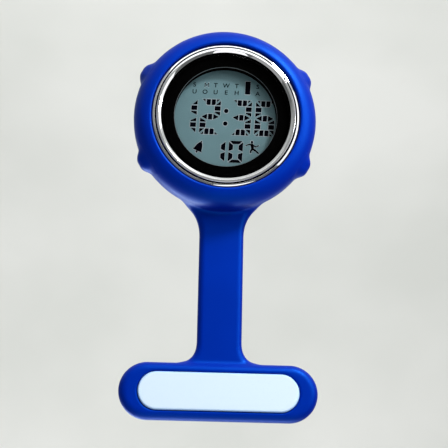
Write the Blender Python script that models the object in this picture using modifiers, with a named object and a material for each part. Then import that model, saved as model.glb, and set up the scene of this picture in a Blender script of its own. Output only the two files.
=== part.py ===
"""Digital fob watch in a silicone holder, with a pin brooch on the back of its bar.

The watch hangs as it is worn: the bar is at the top, the watch below it, and the display faces -Y.
The origin is the centre of the brooch plate's outer face, which lies against the clothing.

Named sizes are in millimetres, and the helpers turn them into metres. Every piece is drawn in
front-view axes: x to the right, y up, and h forward, towards the viewer, from the brooch plate's face.
"""

import math

import bmesh
import bpy
from mathutils import Matrix, Vector

MM = 0.001
WELD = 0.000001  # metres
SIDES = 48  # facets round a turned piece
PAST = 1.0  # how far a cutter runs past what it cuts
SINK = 0.02  # how far a joined shape stays inside the face next to it

# The holder's outline, front view
BAR_LENGTH = 42.6
BAR_HEIGHT = 12.3
BAR_ROUND = 1.3
HEAD_RADIUS = 20.0
HEAD_Y = -59.4  # centre of the watch, below the bar's centre
STRAP_WIDTH = 9.65
BAR_FILLET = 4.0
HEAD_FILLET = 5.5
FILLET_SINK = 0.5  # how far the fillets start inside the bar's edge
FILLET_ROOT = 3.0  # how far the strap's end reaches into the bar
HEAD_FILLET_SINK = 0.8
HEAD_FILLET_ROOT = 11.0  # where the strap's end stops, within the sleeve

# The holder's depths
HOLDER_BACK = 0.3
STRAP_FRONT = 3.5
BAR_FRONT = 4.7
SLEEVE_FRONT = 10.85
SLEEVE_WIDEST = 5.6
SLEEVE_ROUND = 3.7  # how far in from the rim the sleeve's rounding starts
SLEEVE_FLOOR = 1.3
LIP_LOW = 8.6
LIP_RADIUS = 16.2
POCKET_RADIUS = 16.9
BACK_OPENING = 13.9

# The strap bends about this line, where the lower half's end is a half round
FLEX_Y = -22.0
FLEX_GAP = 0.3
STRAP_HALF_DEPTH = (STRAP_FRONT - HOLDER_BACK) / 2
FLEX_RADIUS = STRAP_HALF_DEPTH + 0.03
FLEX_CLEARED = 4.0  # how much of the strap the rounding's cutter takes in

# The white plate in the bar
PLATE_LENGTH = 34.4
PLATE_HEIGHT = 8.1
PLATE_LOW = 3.6
PLATE_HIGH = 5.0
PLATE_ROUND = 0.35
PLATE_RECESS_GAP = 0.3
PLATE_FLOOR = PLATE_LOW - 0.1

# The watch case
CASE_RADIUS = 16.7
CASE_BORE = 14.1
CASE_LOW = 2.4
CASE_HIGH = 8.4
CASE_CHAMFER = 0.6
CASE_BACK_CHAMFER = 0.2
BOSS_CIRCLE = 12.4
BOSS_ANGLES = (45, 135, 225, 315)
BOSS_RADIUS = 1.25
BOSS_HIGH = 4.6
BOSS_ROOT = 14.9  # where the bosses end inside the case wall
BOSS_HOLE = 0.65
BOSS_HOLE_HIGH = 4.35

# The case back, its screws and its gasket
BACK_RADIUS = 16.4
BACK_LOW = 1.5
BACK_HIGH = 2.3
BACK_CHAMFER = 0.3
SCREW_RADIUS = 0.5
SCREW_HIGH = 4.2
SCREW_HEAD_RADIUS = 1.0
SCREW_HEAD_HIGH = 1.9
SCREW_SEAT_RADIUS = 1.15
SCREW_SEAT_HIGH = 2.0
CROSS_REACH = 0.62
CROSS_HALF_WIDTH = 0.13
CROSS_HIGH = 1.72
BACK_GASKET_BORE = 14.25
BACK_GASKET_RADIUS = 14.75
BACK_GASKET_LOW = 2.45
BACK_GASKET_HIGH = 2.85
GASKET_GAP = 0.1

# The bezel's section: a flange, a groove and the main ring with its crest
BEZEL_RADIUS = 16.0
BEZEL_BORE = 14.15
BEZEL_LOW = 8.5
FLANGE_EDGE = 9.75
FLANGE_CREST = (15.62, 10.35)
FLANGE_INNER = (15.45, 10.25)
BEZEL_GROOVE = 10.0
GROOVE_OUTER = 15.42
GROOVE_INNER = 15.2
RING_SHOULDER = (15.16, 10.68)
RING_CREST = (14.98, 10.8)
RING_FRONT = (14.6, 10.75)
RING_INNER_EDGE = 10.3

# The glass and the gasket it sits on
GLASS_RADIUS = 14.05
GLASS_LOW = 9.2
GLASS_HIGH = 10.4
GLASS_CHAMFER = (0.25, 0.2)
GLASS_GASKET_BORE = 13.45
GLASS_GASKET_LOW = 8.93
GLASS_GASKET_HIGH = 9.1

# The display and the black ring round its window
WINDOW_RADIUS = 11.15
MASK_RADIUS = 13.95
MASK_LOW = 7.1
MASK_HIGH = 9.1
MASK_STEP = 8.85
MASK_STEP_RADIUS = 13.35
POLARISER_RADIUS = 11.9
POLARISER_LOW = 6.88
POLARISER_HIGH = 6.98
LCD_RADIUS = 12.7
LCD_HALF_WIDTH = 11.6
LCD_LOW = 6.1
LCD_HIGH = 6.8
REFLECTOR_RADIUS = 11.0
REFLECTOR_LOW = 5.85
REFLECTOR_HIGH = 5.98
ZEBRA_LENGTH = 8.0
ZEBRA_WIDTH = 0.8
ZEBRA_Y = 11.6
ZEBRA_LOW = 5.5
ZEBRA_HIGH = 6.0

# The electronics' plastic frame
FRAME_RADIUS = 13.95
FRAME_LOW = 3.05
FRAME_HIGH = 6.95
FRAME_STEP = 4.9
FRAME_NARROW = 10.9
FRAME_WIDE = 13.3
BOSS_NOTCH_GAP = 0.2
STEM_NOTCH_RADIUS = 1.2

# The electronics
BOARD_RADIUS = 12.4
BOARD_LOW = 5.0
BOARD_HIGH = 5.4
CHIP_AT = (-4.2, 7.9)
CHIP_REACH = (1.6, 0.7)
QUARTZ_RADIUS = 0.75
QUARTZ_LOW = 2.0
QUARTZ_HIGH = 8.0 - QUARTZ_LOW
QUARTZ_AT = (7.6, 4.1)
BATTERY_Y = -1.5
BATTERY_RADIUS = 8.0
BATTERY_LOW = 3.05
BATTERY_HIGH = 4.65
BATTERY_CAP_RADIUS = 7.3
BATTERY_GROOVE_RADIUS = 7.8
BATTERY_CAP_LOW = 4.4
CONTACT_HALF_LENGTH = 4.0
CONTACT_HALF_WIDTH = 1.5
CONTACT_LOW = 4.75
CONTACT_HIGH = 4.9
CLIP_LENGTH = 24.4
CLIP_WIDTH = 3.0
CLIP_LOW = 2.75
CLIP_HIGH = 2.95
PIEZO_RADIUS = 10.4
PIEZO_LOW = 2.4
PIEZO_HIGH = 2.6
BUZZER_SPRING_AT = (0, 9.1)
BUZZER_SPRING_RADIUS = 0.8
BUZZER_SPRING_WIRE = 0.14
BUZZER_SPRING_TURNS = 4
BUZZER_SPRING_LOW = 2.8
BUZZER_SPRING_HIGH = 4.8

# The buttons, along their travel out from the watch's centre
BUTTON_HOURS = (2, 4, 8, 10)
BUTTON_H = 5.7
BUTTON_TRAVEL = 0.7
PAD_LOW = 18.0
PAD_HIGH = 21.2
PAD_LENGTH = 5.6
PAD_DEPTH = 4.2
PAD_ROUND = 1.3
PAD_GAP = 0.3
STEM_RADIUS = 0.55
STEM_LOW = 13.6
STEM_HEAD_LOW = 17.0
STEM_HEAD_HIGH = 17.7
STEM_HEAD_RADIUS = 1.35
STEM_HOLE_GAP = 0.12
STEM_CUT_LOW = 12.0  # inside the case wall
STEM_CUT_HIGH = 18.0  # outside it
SPRING_SEAT = 15.5
SPRING_SEAT_GAP = 0.15
SPRING_RADIUS = 0.95
SPRING_WIRE = 0.13
SPRING_TURNS = 3
SPRING_LOW = 15.7
SPRING_HIGH = 16.8
RETAINER_RADIUS = 1.0
RETAINER_GAP = 0.06
RETAINER_LOW = 13.75
RETAINER_HIGH = 13.95
RETAINER_SLOT = 0.35

# The brooch's strip and rivets
STRIP_LENGTH = 33.0
STRIP_HEIGHT = 4.6
STRIP_DEPTH = 0.6
STRIP_RECESS_GAP = 0.4
STRIP_RECESS_FLOOR = STRIP_DEPTH + 0.1
RIVET_X = 8.6
RIVET_RADIUS = 0.7
RIVET_HIGH = PLATE_LOW - 0.3
RIVET_HEAD_RADIUS = 1.3
RIVET_HEAD_LOW = -0.4
RIVET_HEAD_HIGH = -0.05
STRIP_RIVET_HOLE = 0.8
BAR_RIVET_HOLE = 0.85

# The brooch's pin and hinge
PIN_H = -2.0
PIN_RADIUS = 0.4
PIN_TIP_RADIUS = 0.06
PIN_POINT_LENGTH = 2.6
HINGE_X = 13.6
EYE_RADIUS = 0.95
EYE_HALF_DEPTH = 0.6
HINGE_BORE = 0.5
EAR_GAP = 1.5
EAR_DEPTH = 0.5
EAR_RADIUS = 1.1
EAR_FOOT = 1.2
HINGE_RIVET_RADIUS = 0.42
HINGE_RIVET_HEAD_RADIUS = 0.75
HINGE_RIVET_HEAD_DEPTH = 0.3
HINGE_RIVET_HEAD_GAP = 0.1

# The brooch's catch: a slotted barrel, and a collar that turns round it
CATCH_X = -13.8
BARREL_LOW = CATCH_X - 1.7
BARREL_HIGH = CATCH_X + 1.5
BARREL_RADIUS = 1.15
BARREL_BORE = 0.72
BARREL_HALF_SLOT = 0.58
BARREL_FLANGE_RADIUS = 1.5
BARREL_FLANGE_HIGH = BARREL_LOW + 0.45
NECK_LOW = CATCH_X + 0.75
NECK_HALF_WIDTH = 0.9
COLLAR_LOW = CATCH_X - 1.1
COLLAR_HIGH = CATCH_X + 0.6
COLLAR_RADIUS = 1.7
COLLAR_BORE = 1.25
COLLAR_HALF_SLOT = 0.62
LEVER_REACH = 2.9
LEVER_ROOT = 1.2
LEVER_HALF_DEPTH = 0.35

for thing in list(bpy.data.objects):
    bpy.data.objects.remove(thing, do_unlink=True)

PARTS = bpy.data.collections.new("fob_watch")
CUTTERS = bpy.data.collections.new("cutters")
bpy.context.scene.collection.children.link(PARTS)
bpy.context.scene.collection.children.link(CUTTERS)


# Materials -------------------------------------------------------------------------------------


def material(name, colour, roughness, metallic=0.0, alpha=1.0):
    made = bpy.data.materials.new(name)
    made.use_nodes = True
    shader = made.node_tree.nodes["Principled BSDF"]
    shader.inputs["Base Color"].default_value = (*colour, 1.0)
    shader.inputs["Roughness"].default_value = roughness
    shader.inputs["Metallic"].default_value = metallic
    shader.inputs["Alpha"].default_value = alpha
    return made


SILICONE = material("silicone", (0.003, 0.045, 0.48), 0.5)
WHITE = material("white_plate", (0.72, 0.84, 0.93), 0.3)
CHROME = material("chrome", (0.75, 0.76, 0.78), 0.08, 1.0)
STEEL = material("steel", (0.55, 0.55, 0.56), 0.3, 1.0)
CASE_PLASTIC = material("case_plastic", (0.02, 0.02, 0.022), 0.4)
BLACK = material("black_plastic", (0.006, 0.006, 0.007), 0.35)
GLASS = material("glass", (0.9, 0.93, 0.94), 0.02, 0.0, 0.2)
LCD = material("lcd", (0.1, 0.14, 0.15), 0.3)
RUBBER = material("rubber", (0.02, 0.02, 0.02), 0.6)
ZEBRA = material("zebra_rubber", (0.5, 0.3, 0.3), 0.6)
BOARD = material("circuit_board", (0.02, 0.15, 0.05), 0.5)
BRASS = material("brass", (0.75, 0.55, 0.25), 0.3, 1.0)


# Axes ------------------------------------------------------------------------------------------


def axes(name, parent=None, place=(0, 0, 0), turn=(0, 0, 0)):
    made = bpy.data.objects.new(name, None)
    PARTS.objects.link(made)
    made.parent = parent
    made.location = Vector(place) * MM
    made.rotation_euler = turn
    return made


FRONT = axes("front_view_axes", turn=(math.pi / 2, 0, 0))
HEAD = axes("head_axes", FRONT, (0, HEAD_Y, 0))


def clock_angle(hour):
    """The dial reads upside down to an onlooker, so 12 o'clock points straight down."""
    return math.radians(270 - 30 * hour)


BUTTON_AXES = {
    hour: axes(f"button_axes_{hour}h", HEAD, (0, 0, BUTTON_H), (0, 0, clock_angle(hour)))
    for hour in BUTTON_HOURS
}
# Local Z of these axes points out of the head, along the button's travel
RADIAL_AXES = {
    hour: axes(f"radial_axes_{hour}h", BUTTON_AXES[hour], turn=(0, math.pi / 2, 0))
    for hour in BUTTON_HOURS
}


# Shapes ----------------------------------------------------------------------------------------


def add(name, data, finish, parent=FRONT):
    """Put a mesh or a curve in the model. With no finish it is a cutter."""
    made = bpy.data.objects.new(name, data)
    made.parent = parent
    if finish is None:
        CUTTERS.objects.link(made)
        made.hide_render = True
        made.display_type = "WIRE"
    else:
        PARTS.objects.link(made)
        data.materials.append(finish)
    return made


def mesh_of(name, made_mesh):
    data = bpy.data.meshes.new(name)
    made_mesh.to_mesh(data)
    made_mesh.free()
    return data


def box(name, low, high, finish, parent=FRONT):
    """A box between two corners."""
    low, high = Vector(low) * MM, Vector(high) * MM
    shape = bmesh.new()
    spread = Matrix.Diagonal((*(high - low), 1.0))
    bmesh.ops.create_cube(shape, size=1.0, matrix=Matrix.Translation((low + high) / 2) @ spread)
    return add(name, mesh_of(name, shape), finish, parent)


def rod(name, radius, low, high, finish, parent=FRONT, at=(0, 0), sides=16, tip=None, along="Z"):
    """A cylinder or a cone along one of the parent's axes, its middle at the other two's point."""
    shape = bmesh.new()
    bmesh.ops.create_cone(
        shape,
        cap_ends=True,
        segments=sides,
        radius1=radius * MM,
        radius2=(radius if tip is None else tip) * MM,
        depth=(high - low) * MM,
    )
    middle = (low + high) / 2
    if along == "X":
        turn = Matrix.Rotation(math.pi / 2, 4, "Y")
        place = (middle, *at)
    elif along == "Y":
        turn = Matrix.Rotation(-math.pi / 2, 4, "X")
        place = (at[0], middle, at[1])
    else:
        turn = Matrix.Identity(4)
        place = (*at, middle)
    shape.transform(Matrix.Translation(Vector(place) * MM) @ turn)
    made = add(name, mesh_of(name, shape), finish, parent)
    made.data.shade_smooth()
    made.data.set_sharp_from_angle(angle=math.radians(40))
    return made


def turned(name, profile, finish, parent=HEAD, sides=SIDES, at=(0, 0)):
    """A turned piece: its half section, as radius and h, listed down its outer side."""
    data = bpy.data.meshes.new(name)
    points = [(radius * MM, 0, h * MM) for radius, h in profile]
    lines = [(i, i + 1) for i in range(len(points) - 1)]
    if min(radius for radius, h in profile) > 0:
        lines.append((len(points) - 1, 0))
    data.from_pydata(points, lines, [])
    made = add(name, data, finish, parent)
    made.location = Vector((*at, 0)) * MM
    screw = made.modifiers.new("turn", "SCREW")
    screw.steps = sides
    screw.render_steps = sides
    screw.use_merge_vertices = True
    screw.merge_threshold = WELD
    return made


def ring(name, bore, radius, low, high, finish, parent=HEAD, sides=SIDES, at=(0, 0)):
    profile = [(radius, high), (radius, low), (bore, low), (bore, high)]
    return turned(name, profile, finish, parent, sides, at)


def disc(name, radius, low, high, finish, parent=HEAD, sides=SIDES, at=(0, 0)):
    return turned(name, [(0, high), (radius, high), (radius, low), (0, low)], finish, parent, sides, at)


def arc(centre, radius, start, end, steps):
    """Points round part of a circle, with its angles in degrees."""
    turns = [math.radians(start + (end - start) * i / steps) for i in range(steps + 1)]
    return [(centre[0] + radius * math.cos(t), centre[1] + radius * math.sin(t)) for t in turns]


def oval(centre, reach, start, end, steps):
    """Points round part of an ellipse, with its angles in degrees."""
    return [
        (centre[0] + reach[0] * x, centre[1] + reach[1] * y)
        for x, y in arc((0, 0), 1.0, start, end, steps)
    ]


def plate(name, outline, low, high, finish, parent=FRONT, rounded=0.0, side_view=False):
    """A flat outline given a thickness along h, or along x where the outline is a side view."""
    curve = bpy.data.curves.new(name, "CURVE")
    curve.dimensions = "2D"
    curve.fill_mode = "BOTH"
    curve.extrude = (high - low) / 2 * MM
    spline = curve.splines.new("POLY")
    spline.points.add(len(outline) - 1)
    for point, (x, y) in zip(spline.points, outline):
        point.co = (x * MM, y * MM, 0, 1)
    spline.use_cyclic_u = True
    flat = bpy.data.objects.new(name, curve)
    CUTTERS.objects.link(flat)
    data = bpy.data.meshes.new_from_object(flat.evaluated_get(bpy.context.evaluated_depsgraph_get()))
    bpy.data.objects.remove(flat)
    shape = bmesh.new()
    shape.from_mesh(data)
    bmesh.ops.remove_doubles(shape, verts=shape.verts, dist=WELD)
    bmesh.ops.dissolve_limit(shape, angle_limit=0.01, verts=shape.verts, edges=shape.edges)
    bmesh.ops.translate(shape, vec=(0, 0, (low + high) / 2 * MM), verts=shape.verts)
    if side_view:
        shape.transform(Matrix(((0, 0, 1, 0), (1, 0, 0, 0), (0, 1, 0, 0), (0, 0, 0, 1))))
    bmesh.ops.recalc_face_normals(shape, faces=shape.faces)
    shape.to_mesh(data)
    shape.free()
    data.name = name
    made = add(name, data, finish, parent)
    if rounded:
        bevel = made.modifiers.new("round", "BEVEL")
        bevel.width = rounded * MM
        bevel.segments = 2
        bevel.limit_method = "ANGLE"
        bevel.angle_limit = math.radians(60)
    return made


def stadium(length, height, steps=8):
    """A bar's outline with full-round ends."""
    radius = height / 2
    reach = length / 2 - radius
    return arc((reach, 0), radius, -90, 90, steps) + arc((-reach, 0), radius, 90, 270, steps)


def boolean(made, other, operation):
    change = made.modifiers.new(f"{operation.lower()} {other.name}", "BOOLEAN")
    change.operation = operation
    change.object = other
    change.solver = "EXACT"


def cut(made, *cutters):
    for cutter in cutters:
        boolean(made, cutter, "DIFFERENCE")


def join(made, *others):
    """Each other shape is a cutter too: it is only there to be joined."""
    for other in others:
        boolean(made, other, "UNION")


def coil(name, radius, wire, turns, low, high, finish, parent, at=(0, 0)):
    """A wire spring along the parent's Z."""
    steps = 8 * turns
    curve = bpy.data.curves.new(name, "CURVE")
    curve.dimensions = "3D"
    curve.bevel_depth = wire * MM
    curve.bevel_resolution = 0
    curve.use_fill_caps = True
    spline = curve.splines.new("POLY")
    spline.points.add(steps)
    for i, point in enumerate(spline.points):
        turn = 2 * math.pi * turns * i / steps
        rise = low + (high - low) * i / steps
        x, y = at[0] + radius * math.cos(turn), at[1] + radius * math.sin(turn)
        point.co = (x * MM, y * MM, rise * MM, 1)
    return add(name, curve, finish, parent)


# Silicone holder -------------------------------------------------------------------------------


def strap_to_bar():
    """The strap's upper end, flaring into the bar."""
    half = STRAP_WIDTH / 2
    low_edge = FILLET_SINK - BAR_HEIGHT / 2
    end = FLEX_Y + STRAP_HALF_DEPTH + FLEX_GAP
    right = arc((half + BAR_FILLET, low_edge - BAR_FILLET), BAR_FILLET, 180, 90, 6)
    left = [(-x, y) for x, y in reversed(right)]
    top = low_edge + FILLET_ROOT
    inside = [(half + BAR_FILLET, top), (-half - BAR_FILLET, top)]
    return [(half, end)] + right + inside + left + [(-half, end)]


def strap_to_head():
    """The strap's lower end, flaring into the sleeve, about the watch's centre."""
    half = STRAP_WIDTH / 2
    top = FLEX_Y + STRAP_HALF_DEPTH - HEAD_Y
    rim = HEAD_RADIUS - HEAD_FILLET_SINK
    centre_x = half + HEAD_FILLET
    centre_y = math.sqrt((rim + HEAD_FILLET) ** 2 - centre_x**2)
    meet = math.degrees(math.atan2(-centre_y, -centre_x)) + 360
    right = arc((centre_x, centre_y), HEAD_FILLET, 180, meet, 8)
    left = [(-x, y) for x, y in reversed(right)]
    inside = [(right[-1][0], HEAD_FILLET_ROOT), (-right[-1][0], HEAD_FILLET_ROOT)]
    return [(half, top)] + right + inside + left + [(-half, top)]


def make_bar():
    """The bar and the upper half of the strap."""
    outline = stadium(BAR_LENGTH, BAR_HEIGHT)
    bar = plate("holder_bar", outline, HOLDER_BACK, BAR_FRONT, SILICONE, rounded=BAR_ROUND)
    join(bar, plate("upper_strap", strap_to_bar(), HOLDER_BACK + SINK, STRAP_FRONT, None))
    for_plate = stadium(PLATE_LENGTH + PLATE_RECESS_GAP, PLATE_HEIGHT + PLATE_RECESS_GAP)
    for_strip = stadium(STRIP_LENGTH + STRIP_RECESS_GAP, STRIP_HEIGHT + STRIP_RECESS_GAP)
    cut(
        bar,
        plate("plate_recess", for_plate, PLATE_FLOOR, BAR_FRONT + PAST, None),
        plate("strip_recess", for_strip, -PAST, STRIP_RECESS_FLOOR, None),
    )
    for side, x in (("left", -RIVET_X), ("right", RIVET_X)):
        cut(bar, rod(f"bar_rivet_hole_{side}", BAR_RIVET_HOLE, -PAST, BAR_FRONT + PAST, None, at=(x, 0)))


def make_head():
    """The round sleeve and the lower half of the strap."""
    middle = (HEAD_RADIUS - SLEEVE_ROUND, SLEEVE_WIDEST)
    front = oval(middle, (SLEEVE_ROUND, SLEEVE_FRONT - SLEEVE_WIDEST), 90, 0, 5)
    back = oval(middle, (SLEEVE_ROUND, SLEEVE_WIDEST - HOLDER_BACK), 0, -90, 5)
    head = turned("holder_head", [(0, SLEEVE_FRONT)] + front + back[1:] + [(0, HOLDER_BACK)], SILICONE)
    join(head, plate("lower_strap", strap_to_head(), HOLDER_BACK + SINK, STRAP_FRONT, None, HEAD))

    hinge = (FLEX_Y - HEAD_Y, HOLDER_BACK + STRAP_HALF_DEPTH)
    above, below, corner = STRAP_FRONT + PAST, HOLDER_BACK - PAST, hinge[0] + FLEX_CLEARED
    rounding = arc(hinge, FLEX_RADIUS, -90, 90, 8)
    rounding += [(hinge[0], above), (corner, above), (corner, below), (hinge[0], below)]
    pocket = [
        (0, SLEEVE_FRONT + PAST),
        (LIP_RADIUS, SLEEVE_FRONT + PAST),
        (LIP_RADIUS, LIP_LOW),
        (POCKET_RADIUS, LIP_LOW),
        (POCKET_RADIUS, SLEEVE_FLOOR),
        (BACK_OPENING, SLEEVE_FLOOR),
        (BACK_OPENING, HOLDER_BACK - PAST),
        (0, HOLDER_BACK - PAST),
    ]
    cut(
        head,
        plate("strap_end_round", rounding, -STRAP_WIDTH, STRAP_WIDTH, None, HEAD, side_view=True),
        turned("watch_pocket", pocket, None),
    )
    wide, deep = PAD_LENGTH / 2 + PAD_GAP, PAD_DEPTH / 2 + PAD_GAP
    for hour, place in BUTTON_AXES.items():
        low, high = (POCKET_RADIUS - PAST, -wide, -deep), (PAD_HIGH + PAST, wide, deep)
        cut(head, box(f"pad_window_{hour}h", low, high, None, place))


def make_button_pads():
    """The bumps over the buttons, parts of the sleeve that give way."""
    for hour, place in BUTTON_AXES.items():
        low, high = (PAD_LOW, -PAD_LENGTH / 2, -PAD_DEPTH / 2), (PAD_HIGH, PAD_LENGTH / 2, PAD_DEPTH / 2)
        pad = box(f"button_pad_{hour}h", low, high, SILICONE, place)
        bevel = pad.modifiers.new("round", "BEVEL")
        bevel.width = PAD_ROUND * MM
        bevel.segments = 3


# Brooch ----------------------------------------------------------------------------------------


def make_name_plate():
    outline = stadium(PLATE_LENGTH, PLATE_HEIGHT)
    plate("name_plate", outline, PLATE_LOW, PLATE_HIGH, WHITE, rounded=PLATE_ROUND)


def make_brooch_plate():
    """The steel strip, with the hinge's two ears and the barrel that the pin's tip lies in."""
    strip = plate("brooch_plate", stadium(STRIP_LENGTH, STRIP_HEIGHT), 0.0, STRIP_DEPTH, STEEL)
    root = STRIP_DEPTH / 2
    ear = [(-EAR_FOOT, root), (EAR_FOOT, root)] + arc((0, PIN_H), EAR_RADIUS, 0, -180, 8)
    for side, y in (("lower", -EAR_GAP / 2 - EAR_DEPTH), ("upper", EAR_GAP / 2)):
        shape = plate(f"hinge_ear_{side}", ear, y, y + EAR_DEPTH, None)
        shape.rotation_euler = (-math.pi / 2, 0, 0)
        shape.scale = (1, -1, 1)
        shape.location.x = HINGE_X * MM
        shape.data.flip_normals()
        join(strip, shape)
    middle = (0, PIN_H)
    neck_low, neck_high = (NECK_LOW, -NECK_HALF_WIDTH, PIN_H), (BARREL_HIGH, NECK_HALF_WIDTH, root)
    flange = (BARREL_FLANGE_RADIUS, BARREL_LOW, BARREL_FLANGE_HIGH)
    join(
        strip,
        rod("catch_barrel", BARREL_RADIUS, BARREL_LOW, BARREL_HIGH, None, at=middle, along="X"),
        rod("catch_flange", *flange, None, at=middle, along="X"),
        box("catch_neck", neck_low, neck_high, None),
    )
    low, high = BARREL_LOW - PAST, BARREL_HIGH + PAST
    slot_low = (low, -BARREL_HALF_SLOT, PIN_H - BARREL_RADIUS - PAST)
    reach = EAR_GAP / 2 + EAR_DEPTH + PAST
    cut(
        strip,
        rod("barrel_bore", BARREL_BORE, low, high, None, at=middle, along="X"),
        box("barrel_slot", slot_low, (high, BARREL_HALF_SLOT, PIN_H), None),
        rod("ear_hole", HINGE_BORE, -reach, reach, None, at=(HINGE_X, PIN_H), along="Y"),
    )
    through = (STRIP_RIVET_HOLE, -PAST, STRIP_DEPTH + PAST)
    for side, x in (("left", -RIVET_X), ("right", RIVET_X)):
        cut(strip, rod(f"strip_rivet_hole_{side}", *through, None, at=(x, 0)))


def make_brooch_pin():
    """A needle with an eye that turns on the hinge rivet."""
    hinge = (HINGE_X, PIN_H)
    pin = rod("brooch_pin", EYE_RADIUS, -EYE_HALF_DEPTH, EYE_HALF_DEPTH, STEEL, at=hinge, along="Y")
    middle = (0, PIN_H)
    taper = BARREL_HIGH - 0.1
    overlap = 0.3
    shaft_end = HINGE_X - EYE_RADIUS + overlap
    point_low, point_high = taper - PIN_POINT_LENGTH, taper + overlap
    root = PIN_RADIUS - SINK
    join(
        pin,
        rod("pin_shaft", PIN_RADIUS, taper, shaft_end, None, at=middle, along="X"),
        rod("pin_point", PIN_TIP_RADIUS, point_low, point_high, None, at=middle, tip=root, along="X"),
    )
    reach = EYE_HALF_DEPTH + PAST
    cut(pin, rod("pin_eye", HINGE_BORE, -reach, reach, None, at=hinge, along="Y"))


def make_pin_rivet():
    hinge = (HINGE_X, PIN_H)
    head_low = EAR_GAP / 2 + EAR_DEPTH + HINGE_RIVET_HEAD_GAP
    head_high = head_low + HINGE_RIVET_HEAD_DEPTH
    reach = head_low + HINGE_RIVET_HEAD_DEPTH / 3
    rivet = rod("pin_rivet", HINGE_RIVET_RADIUS, -reach, reach, STEEL, at=hinge, along="Y")
    radius = HINGE_RIVET_HEAD_RADIUS
    for side, low, high in (("lower", -head_high, -head_low), ("upper", head_low, head_high)):
        join(rivet, rod(f"pin_rivet_head_{side}", radius, low, high, None, at=hinge, along="Y"))


def make_safety_catch():
    """A slotted collar that turns round the barrel and shuts its slot."""
    middle = (0, PIN_H)
    collar = (COLLAR_RADIUS, COLLAR_LOW, COLLAR_HIGH)
    catch = rod("safety_catch", *collar, STEEL, at=middle, along="X", sides=32)
    lever_low = (COLLAR_LOW, -LEVER_REACH, PIN_H - LEVER_HALF_DEPTH)
    lever_high = (COLLAR_HIGH, -LEVER_ROOT, PIN_H + LEVER_HALF_DEPTH)
    join(catch, box("catch_lever", lever_low, lever_high, None))
    low, high = COLLAR_LOW - PAST, COLLAR_HIGH + PAST
    slot_low = (low, -COLLAR_HALF_SLOT, PIN_H - COLLAR_RADIUS - PAST)
    cut(
        catch,
        rod("collar_bore", COLLAR_BORE, low, high, None, at=middle, along="X", sides=32),
        box("collar_slot", slot_low, (high, COLLAR_HALF_SLOT, PIN_H), None),
    )


def make_brooch_rivets():
    """They hold the strip to the bar, with their tails spread under the white plate."""
    for side, x in (("left", -RIVET_X), ("right", RIVET_X)):
        shank_low = (RIVET_HEAD_LOW + RIVET_HEAD_HIGH) / 2
        rivet = rod(f"brooch_rivet_{side}", RIVET_RADIUS, shank_low, RIVET_HIGH, STEEL, at=(x, 0))
        head = (RIVET_HEAD_RADIUS, RIVET_HEAD_LOW, RIVET_HEAD_HIGH)
        join(rivet, rod(f"rivet_head_{side}", *head, None, at=(x, 0)))


# Watch case ------------------------------------------------------------------------------------


def boss_axes():
    return [axes(f"boss_axes_{i}", HEAD, turn=(0, 0, math.radians(a))) for i, a in enumerate(BOSS_ANGLES, 1)]


def boss_outline(radius, root):
    return arc((BOSS_CIRCLE, 0), radius, 90, 270, 8) + [(root, -radius), (root, radius)]


def make_case_body(bosses):
    case = turned(
        "case_body",
        [
            (CASE_RADIUS - CASE_CHAMFER, CASE_HIGH),
            (CASE_RADIUS, CASE_HIGH - CASE_CHAMFER),
            (CASE_RADIUS, CASE_LOW + CASE_BACK_CHAMFER),
            (CASE_RADIUS - CASE_BACK_CHAMFER, CASE_LOW),
            (CASE_BORE, CASE_LOW),
            (CASE_BORE, CASE_HIGH),
        ],
        CASE_PLASTIC,
    )
    below = CASE_LOW - PAST
    for i, place in enumerate(bosses, 1):
        outline = boss_outline(BOSS_RADIUS, BOSS_ROOT)
        join(case, plate(f"boss_{i}", outline, CASE_LOW + SINK, BOSS_HIGH, None, place))
    groove = (BACK_GASKET_RADIUS + GASKET_GAP, below, BACK_GASKET_HIGH + 1.5 * GASKET_GAP)
    cut(case, ring("gasket_groove", CASE_BORE - 0.5 * GASKET_GAP, *groove, None))
    for i, place in enumerate(bosses, 1):
        cut(case, rod(f"boss_hole_{i}", BOSS_HOLE, below, BOSS_HOLE_HIGH, None, place, (BOSS_CIRCLE, 0)))
    hole, seat = STEM_RADIUS + STEM_HOLE_GAP, STEM_HEAD_RADIUS + SPRING_SEAT_GAP
    for hour, place in RADIAL_AXES.items():
        cut(
            case,
            rod(f"stem_hole_{hour}h", hole, STEM_CUT_LOW, STEM_CUT_HIGH, None, place),
            rod(f"spring_seat_{hour}h", seat, SPRING_SEAT, STEM_CUT_HIGH, None, place),
        )


def make_bezel():
    turned(
        "bezel",
        [
            RING_CREST,
            RING_SHOULDER,
            (GROOVE_INNER, BEZEL_GROOVE),
            (GROOVE_OUTER, BEZEL_GROOVE),
            FLANGE_INNER,
            FLANGE_CREST,
            (BEZEL_RADIUS, FLANGE_EDGE),
            (BEZEL_RADIUS, BEZEL_LOW),
            (BEZEL_BORE, BEZEL_LOW),
            (BEZEL_BORE, RING_INNER_EDGE),
            RING_FRONT,
        ],
        CHROME,
    )


def make_glass():
    across, down = GLASS_CHAMFER
    turned(
        "crystal",
        [
            (0, GLASS_HIGH),
            (GLASS_RADIUS - across, GLASS_HIGH),
            (GLASS_RADIUS, GLASS_HIGH - down),
            (GLASS_RADIUS, GLASS_LOW),
            (0, GLASS_LOW),
        ],
        GLASS,
    )
    ring("crystal_gasket", GLASS_GASKET_BORE, GLASS_RADIUS, GLASS_GASKET_LOW, GLASS_GASKET_HIGH, RUBBER)


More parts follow.
